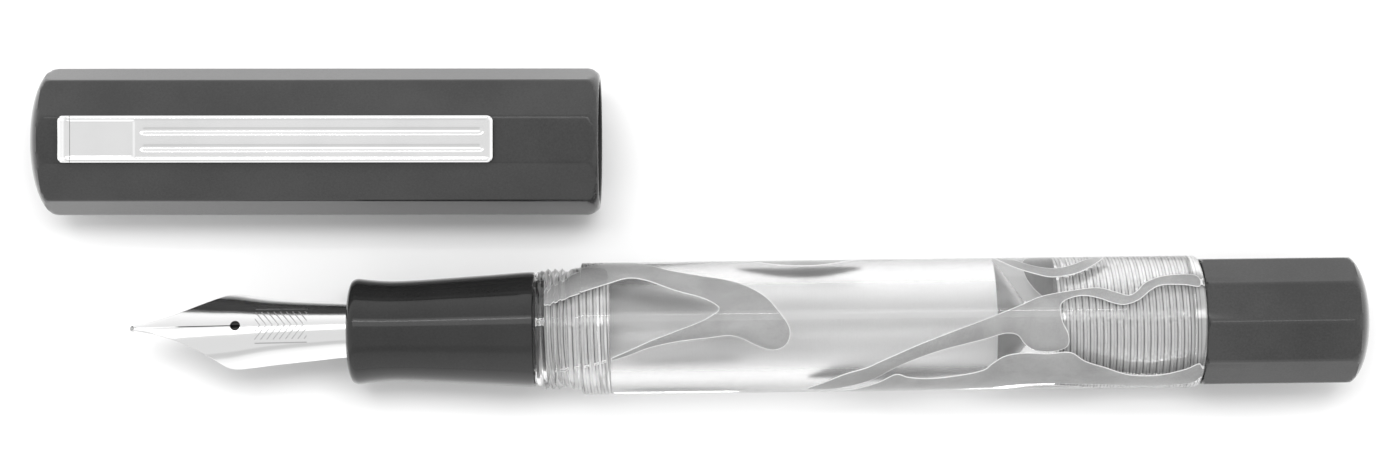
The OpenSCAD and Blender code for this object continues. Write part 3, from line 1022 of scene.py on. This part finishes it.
def smoothStep(t):
    t = min(1, max(0, t))
    return t * t * (3 - 2 * t)


def clipUnder(u, y, height):                       # height of its hollow underside
    c = clipShape
    length = c["end"] - c["start"]
    edge = min(c["width"] / 2 - abs(y), length - u)
    channel = smoothStep((edge - c["wall"]) / 0.25)
    low = channel * (c["thick"] - c["sheet"] - 0.1)
    bump = max(0, 1 - ((u - length + c["ballBack"]) ** 2 + y ** 2) / c["ballSpread"])
    low -= bump * c["ballDrop"] * channel
    if u < 1.3:                                    # the bend stays solid
        low = max(low, min(height - 0.45, 0.1))
    return min(low, height - 0.12)


def inCorner(u, y):                                # where a point goes to round the plan's corners
    c = clipShape
    half = c["width"] / 2
    length = c["end"] - c["start"]
    for side in (0, length):
        dx = c["corner"] - abs(u - side)
        dy = abs(y) - (half - c["corner"])
        if dx > 0 and dy > 0:
            squeeze = max(dx, dy) / math.hypot(dx, dy)
            u = side + math.copysign(c["corner"] - dx * squeeze, length / 2 - side)
            y = math.copysign(half - c["corner"] + dy * squeeze, y)
    return u, y


def makeClipPart(name, fromU, toU, body, node, tang=False):
    c = clipShape
    bm = bmesh.new()
    cells = max(10, int((toU - fromU) / c["cell"]))
    bmesh.ops.create_grid(bm, x_segments=cells, y_segments=c["columns"], size=0.5)
    for vert in bm.verts:
        u = fromU + (vert.co.x + 0.5) * (toU - fromU)
        y = vert.co.y * c["width"]
        vert.co = (*inCorner(u, y), clipTop(u, y))
    bmesh.ops.recalc_face_normals(bm, faces=bm.faces)
    under = set(bm.verts)
    bmesh.ops.extrude_face_region(bm, geom=list(bm.faces))
    for vert in under:
        vert.co.z = clipUnder(*vert.co)
    for vert in bm.verts:
        vert.co = ((vert.co.x + c["start"]) * mm, vert.co.y * mm, (vert.co.z + c["under"]) * mm)
    if tang:
        strap = bmesh.ops.create_cube(bm, size=1)["verts"]
        middle = Matrix.Translation((c["tangAt"] * mm, 0, (c["under"] - c["tangDrop"]) * mm))
        measures = Matrix.Diagonal((*[measure * mm for measure in c["tangSize"]], 1))
        bmesh.ops.transform(bm, verts=strap, matrix=middle @ measures)
    weld(bm)
    finishPiece(name, bm, capPlace, body, [node], [clipSteel], sharp=35)


splitAt = clipShape["split"] - clipShape["start"]
makeClipPart("clipRoot", 0, splitAt - clipShape["joinGap"], "cap", "clip_root", tang=True)
makeClipPart("clipArm", splitAt + clipShape["joinGap"], clipShape["end"] - clipShape["start"],
             "clip", "clip_arm")
print("clip pressed")


# Nib

nibShape = {
    "out": 21.8,              # length outside the grip
    "inside": 8.0,
    "thick": 0.22,
    "slit": 0.09,
    "holeAt": 10.6,
    "holeR": 0.5,
    "columns": 81,
    "step": 0.2,              # between rows, and near the hole
    "holeStep": 0.085,
    "softened": 0.05,
    "tippingR": 0.29,
    "tippingAt": (0.33, 1.93),
    # back from the point: place, half width, crown height, edge height
    "stations": [
        (0.35, 0.27, 2.16, 2.12), (1.4, 0.46, 2.22, 2.16), (2.9, 0.82, 2.30, 2.22),
        (5.0, 1.52, 2.40, 2.20), (7.1, 2.47, 2.48, 1.86), (8.65, 3.26, 2.54, 1.28),
        (9.65, 3.76, 2.58, 0.70), (10.55, 3.90, 2.60, 0.38), (12.1, 3.75, 2.64, 0.24),
        (14.1, 3.50, 2.70, 0.22), (18.1, 3.14, 2.83, 0.36), (21.8, 2.88, 2.95, 0.62),
        (29.8, 2.88, 2.95, 0.62)],
}
tipAt = gripShape["front"] - nibShape["out"]


def stationAt(place):
    table = nibShape["stations"]
    for i in range(len(table) - 1):
        if place <= table[i + 1][0] + 1e-9:
            break
    a, b, c, d = (table[min(max(i + k, 0), len(table) - 1)] for k in (-1, 0, 1, 2))
    span = c[0] - b[0]
    t = (place - b[0]) / span
    out = []
    for k in (1, 2, 3):                            # cubic through the stations, slopes from neighbours
        slopeB = (c[k] - a[k]) / max(1e-6, c[0] - a[0]) * span
        slopeC = (d[k] - b[k]) / max(1e-6, d[0] - b[0]) * span
        out.append((2 * t ** 3 - 3 * t * t + 1) * b[k] + (t ** 3 - 2 * t * t + t) * slopeB
                   + (3 * t * t - 2 * t ** 3) * c[k] + (t ** 3 - t * t) * slopeC)
    return out


def nibRows():                                     # places along the nib, closer near the hole
    n = nibShape
    end = n["out"] + n["inside"]
    rows = [n["stations"][0][0]]
    while rows[-1] < end - 0.05:
        near = abs(rows[-1] - n["holeAt"]) < 1.0
        rows.append(min(rows[-1] + n["holeStep" if near else "step"], end))
    return rows


def rollSheet(bm):                                 # bends a flat grid round the nib's sections
    n = nibShape
    rows = nibRows()
    bmesh.ops.create_grid(bm, x_segments=len(rows) - 1, y_segments=n["columns"], size=0.5)
    marks = bm.loops.layers.uv.new("engraving")
    placeOf = {}
    for vert in bm.verts:
        place = rows[round((vert.co.x + 0.5) * (len(rows) - 1))]
        v = vert.co.y * 2
        halfWidth, crown, edge = stationAt(place)
        rise = max(0.02, crown - edge)
        r = (halfWidth ** 2 + rise ** 2) / (2 * rise)
        half = math.asin(min(1, halfWidth / r))
        if rise > r:
            half = math.pi - half
        slitShare = n["slit"] / 2 / (r * half)     # the middle column is as wide as the slit
        first = 1 / n["columns"]
        share = math.copysign(slitShare + (abs(v) - first) / (1 - first) * (1 - slitShare), v)
        angle = half * share
        placeOf[vert] = (place, abs(share * half * r))
        vert.co = (place, r * math.sin(angle), crown - r + r * math.cos(angle))
    for face in bm.faces:
        for loop in face.loops:
            loop[marks].uv = placeOf[loop.vert]


def cutSlitAndHole(bm):
    n = nibShape
    gone = []
    for face in bm.faces:
        middle = face.calc_center_median()
        inHole = math.hypot(middle.x - n["holeAt"], middle.y) < n["holeR"]
        inSlit = middle.x < n["holeAt"] and abs(middle.y) < n["slit"] * 0.4
        if inHole or inSlit:
            gone.append(face)
    bmesh.ops.delete(bm, geom=gone, context="FACES")
    for vert in bm.verts:                          # round the breather hole
        away = math.hypot(vert.co.x - n["holeAt"], vert.co.y)
        if vert.is_boundary and 0.3 < away < n["holeR"] * 1.3 and abs(vert.co.y) > n["slit"] * 0.6:
            scale = n["holeR"] / away
            vert.co.x = n["holeAt"] + (vert.co.x - n["holeAt"]) * scale
            vert.co.y *= scale


def makeNib():
    n = nibShape
    bm = bmesh.new()
    rollSheet(bm)
    cutSlitAndHole(bm)
    for vert in bm.verts:
        vert.co = ((vert.co.x + tipAt) * mm, vert.co.y * mm, vert.co.z * mm)
    bmesh.ops.recalc_face_normals(bm, faces=bm.faces)
    up = sum(face.normal.z for face in bm.faces)
    if up < 0:
        bmesh.ops.reverse_faces(bm, faces=bm.faces)
    bmesh.ops.solidify(bm, geom=bm.faces[:], thickness=n["thick"] * mm)
    weld(bm, 0.0002)
    outline = [                                    # sharp edges away from the slit and the hole
        edge for edge in bm.edges
        if len(edge.link_faces) == 2 and edge.calc_face_angle() > math.radians(55)
        and all(abs(v.co.y) > 0.12 * mm for v in edge.verts)
        and all(math.hypot(v.co.x - (tipAt + n["holeAt"]) * mm, v.co.y) > 1.0 * mm for v in edge.verts)
    ]
    bmesh.ops.bevel(
        bm, geom=outline, offset=n["softened"] * mm, offset_type="OFFSET", segments=2, profile=0.5,
        affect="EDGES", material=-1, clamp_overlap=True)
    finishPiece("nib", bm, nibPlace, "nib_and_feed", ["nib"], [nibSteel], sharp=40)


makeNib()


def makeTipping():                                 # one half of the ball on each tine
    n = nibShape
    back, height = n["tippingAt"]
    middle = Matrix.Translation(((tipAt + back) * mm, 0, height * mm))
    bm = bmesh.new()
    for side in (-1, 1):
        radius = n["tippingR"] * mm
        ball = bmesh.ops.create_uvsphere(bm, u_segments=32, v_segments=20, radius=radius)["verts"]
        bmesh.ops.transform(bm, verts=ball, matrix=middle @ Matrix.Diagonal((1.1, 1, 0.95, 1)))
        edges = [edge for edge in bm.edges if edge.verts[0] in ball]
        faces = [face for face in bm.faces if face.verts[0] in ball]
        cut = bmesh.ops.bisect_plane(
            bm, geom=ball + edges + faces, plane_co=(0, side * n["slit"] / 2 * mm, 0),
            plane_no=(0, -side, 0), clear_outer=True)
        ends = [e for e in cut["geom_cut"] if isinstance(e, bmesh.types.BMEdge)]
        bmesh.ops.holes_fill(bm, edges=ends)
    weld(bm, 0.0002)
    finishPiece("nibTipping", bm, nibPlace, "nib_and_feed", ["nib_tipping"], [tippingAlloy])


makeTipping()
print("nib rolled")


# Pieces whose solid is already right only take a better finish

for nodeName, finishUsed in (("feed", feedPlastic), ("clip_screw", screwSteel)):
    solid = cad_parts[nodeName]
    solid.data.materials.clear()
    solid.data.materials.append(finishUsed)


# Table, light and camera

studio = {
    "floorShade": 0.90,
    "floorDrift": 0.02,
    "zenith": 0.80,
    "horizon": 1.15,
    "skyFades": (0.35, 0.95),
    "shade": 0.25,            # a dark flag across the sky in front, for the steel to mirror
    "flagAt": -0.62,
    "flagSpread": 0.02,
    "keyPower": 1.05,
    "keySize": (0.30, 0.13),
    "keyAt": (0.0, 0.115, 0.42),
    "stripPower": 0.065,
    "stripSize": (0.40, 0.007),
    "stripAt": (0.0, 0.167, 0.40),
    "panelPower": 0.17,
    "panelSize": (0.40, 0.13),
    "panelAt": (0.0, 0.15, 0.42),
    "cameraHeight": 0.3066,
    "cameraAt": (-0.000065, -0.001115),
    "cameraTurn": -0.7,
    "lens": 77.0,
}


def makeFloor():
    finish = Finish("tableWhite")
    light = studio["floorShade"]
    dark = light - studio["floorDrift"]
    finish.set(
        baseColor=finish.mixed(grey(light), grey(dark), finish.noise(30)),
        roughness=0.9 + finish.noise(400) * 0.05,
    )
    bm = bmesh.new()
    bmesh.ops.create_grid(bm, x_segments=2, y_segments=2, size=1.2)
    bmesh.ops.transform(bm, verts=bm.verts, matrix=Matrix.Translation((0, 0, -0.00002)))
    mesh = bpy.data.meshes.new("table")
    bm.to_mesh(mesh)
    bm.free()
    mesh.materials.append(finish.material)
    table = bpy.data.objects.new("table", mesh)
    bpy.context.scene.collection.objects.link(table)


def skyFade(tree, value, low, high, toLow, toHigh):
    fade = tree.nodes.new("ShaderNodeMapRange")
    fade.interpolation_type = "SMOOTHSTEP"
    for key, amount in (("Value", value), ("From Min", low), ("From Max", high),
                        ("To Min", toLow), ("To Max", toHigh)):
        plug(tree, fade.inputs[key], amount)
    return Wire(tree, fade.outputs[0])


def makeSky():
    world = bpy.data.worlds.new("studioSky")
    bpy.context.scene.world = world
    world.use_nodes = True
    tree = world.node_tree
    tree.nodes["Background"].inputs["Color"].default_value = (1, 1, 1, 1)
    place = tree.nodes.new("ShaderNodeTexCoord").outputs["Generated"]
    axes = tree.nodes.new("ShaderNodeSeparateXYZ")
    tree.links.new(place, axes.inputs[0])
    across, height = Wire(tree, axes.outputs["Y"]), Wire(tree, axes.outputs["Z"])
    sky = skyFade(tree, height, *studio["skyFades"], studio["horizon"], studio["zenith"])
    fromFlag = across - studio["flagAt"]
    flag = skyFade(tree, fromFlag * fromFlag, 0.0, studio["flagSpread"], 1 - studio["shade"], 1.0)
    above = height > 0
    level = sky * (flag * above + (1 - above))
    tree.links.new(level.socket, tree.nodes["Background"].inputs["Strength"])


def makeLights():
    for name in ("key", "strip", "panel"):
        lamp = bpy.data.lights.new(name + "Softbox", "AREA")
        lamp.shape = "RECTANGLE"
        lamp.size, lamp.size_y = studio[name + "Size"]
        lamp.energy = studio[name + "Power"]
        holder = bpy.data.objects.new(name + "Softbox", lamp)
        holder.location = studio[name + "At"]
        holder.rotation_euler = (-Vector(studio[name + "At"])).to_track_quat("-Z", "Y").to_euler()
        holder.visible_glossy = name != "key"
        bpy.context.scene.collection.objects.link(holder)


def makeCamera():
    camera = bpy.data.cameras.new("camera")
    camera.lens = studio["lens"]
    camera.sensor_width = 36
    camera.clip_start = 0.01
    holder = bpy.data.objects.new("camera", camera)
    holder.location = (*studio["cameraAt"], studio["cameraHeight"])
    holder.rotation_euler = (0, 0, math.radians(studio["cameraTurn"]))
    bpy.context.scene.collection.objects.link(holder)
    bpy.context.scene.camera = holder


makeFloor()
makeSky()
makeLights()
makeCamera()
bpy.context.scene.view_settings.view_transform = "Standard"
print("studio set")
